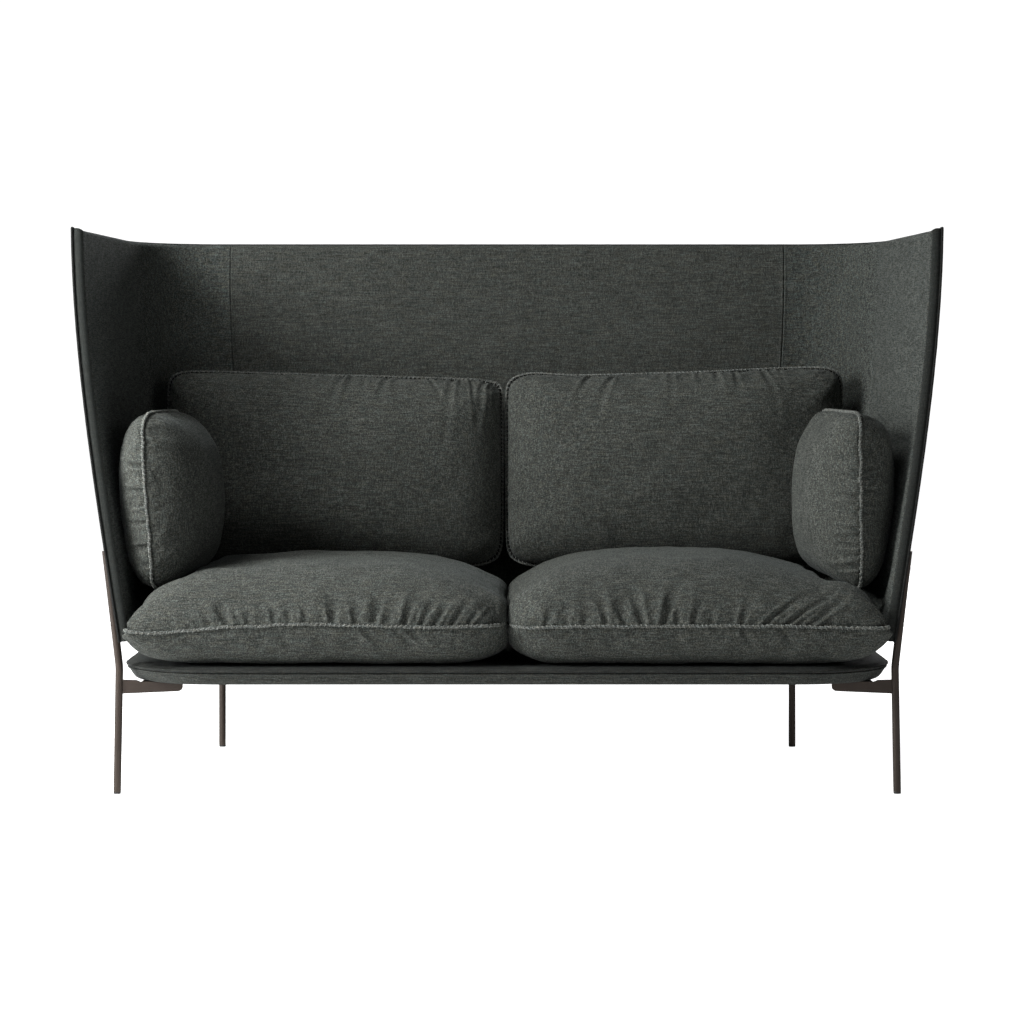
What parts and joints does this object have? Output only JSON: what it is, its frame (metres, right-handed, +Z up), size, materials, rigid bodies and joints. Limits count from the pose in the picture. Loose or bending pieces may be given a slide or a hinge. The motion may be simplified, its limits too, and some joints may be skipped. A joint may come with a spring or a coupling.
{
  "type": "two-seater sofa",
  "caption": "High-back loveseat: padded wrap-round shell with side wings on slim round steel legs, upholstered base and loose seat, back and arm cushions with raised stitched seams.",
  "frame": {"origin": "on the floor, at the middle of the sofa's footprint", "axes": "+X towards the viewer's right along the seat's width, -Y towards the front where people sit down, +Z up"},
  "size_m": [1.734, 0.8589, 1.106],
  "materials": {
    "sofa_fabric": "matte",
    "lining_fabric": "matte",
    "bronze_metal": "satin",
    "fastener_steel": "satin",
    "dark_plastic": "matte",
    "wood": "matte",
    "webbing": "matte",
    "foam": "matte",
    "cushion_filling": "matte"
  },
  "bodies": {
    "frame": {"front_leg_left": "bronze_metal", "front_leg_right": "bronze_metal", "rear_leg_left": "bronze_metal", "rear_leg_right": "bronze_metal", "front_bracket_left": "bronze_metal", "front_bracket_right": "bronze_metal", "rear_bracket_left": "bronze_metal", "rear_bracket_right": "bronze_metal", "foot_glides": "dark_plastic", "bracket_bolts": "fastener_steel", "threaded_inserts": "fastener_steel", "leg_screws": "fastener_steel", "leg_spacers": "dark_plastic", "base_front_rail": "wood", "base_rear_rail": "wood", "base_side_rails": "wood", "base_cross_rails": "wood", "seat_webbing": "webbing", "base_foam_pad": "foam", "base_top_cover": "sofa_fabric", "base_lower_cover": "sofa_fabric", "base_dust_cover": "lining_fabric", "shell_core_back": "wood", "shell_core_left": "wood", "shell_core_right": "wood", "shell_inner_padding": "foam", "shell_outer_padding": "foam", "inner_cover_back": "sofa_fabric", "inner_cover_left": "sofa_fabric", "inner_cover_right": "sofa_fabric", "outer_cover_back": "sofa_fabric", "outer_cover_left": "sofa_fabric", "outer_cover_right": "sofa_fabric", "shell_edge_welt": "sofa_fabric"},
    "seat_cushion_left": {"seat_cushion_left_top_cover": "sofa_fabric", "seat_cushion_left_bottom_cover": "sofa_fabric", "seat_cushion_left_filling": "cushion_filling"},
    "back_cushion_left": {"back_cushion_left_front_cover": "sofa_fabric", "back_cushion_left_rear_cover": "sofa_fabric", "back_cushion_left_filling": "cushion_filling"},
    "arm_cushion_left": {"arm_cushion_left_inner_cover": "sofa_fabric", "arm_cushion_left_outer_cover": "sofa_fabric", "arm_cushion_left_filling": "cushion_filling"},
    "seat_cushion_right": {"seat_cushion_right_top_cover": "sofa_fabric", "seat_cushion_right_bottom_cover": "sofa_fabric", "seat_cushion_right_filling": "cushion_filling"},
    "back_cushion_right": {"back_cushion_right_front_cover": "sofa_fabric", "back_cushion_right_rear_cover": "sofa_fabric", "back_cushion_right_filling": "cushion_filling"},
    "arm_cushion_right": {"arm_cushion_right_inner_cover": "sofa_fabric", "arm_cushion_right_outer_cover": "sofa_fabric", "arm_cushion_right_filling": "cushion_filling"}
  },
  "joints": [
    {"name": "seat_cushion_left_lift", "type": "slide", "parent": "frame", "child": "seat_cushion_left", "axis": [0, 0, 1], "range_m": [0, 0.86]},
    {"name": "back_cushion_left_lift", "type": "slide", "parent": "seat_cushion_left", "child": "back_cushion_left", "axis": [0, 0.1302, 0.9915], "range_m": [0, 0.73]},
    {"name": "arm_cushion_left_lift", "type": "slide", "parent": "seat_cushion_left", "child": "arm_cushion_left", "axis": [0, -0.3011, 0.9536], "range_m": [0, 0.76]},
    {"name": "seat_cushion_right_lift", "type": "slide", "parent": "frame", "child": "seat_cushion_right", "axis": [0, 0, 1], "range_m": [0, 0.86]},
    {"name": "back_cushion_right_lift", "type": "slide", "parent": "seat_cushion_right", "child": "back_cushion_right", "axis": [0, 0.1302, 0.9915], "range_m": [0, 0.73]},
    {"name": "arm_cushion_right_lift", "type": "slide", "parent": "seat_cushion_right", "child": "arm_cushion_right", "axis": [0, -0.3011, 0.9536], "range_m": [0, 0.76]}
  ]
}
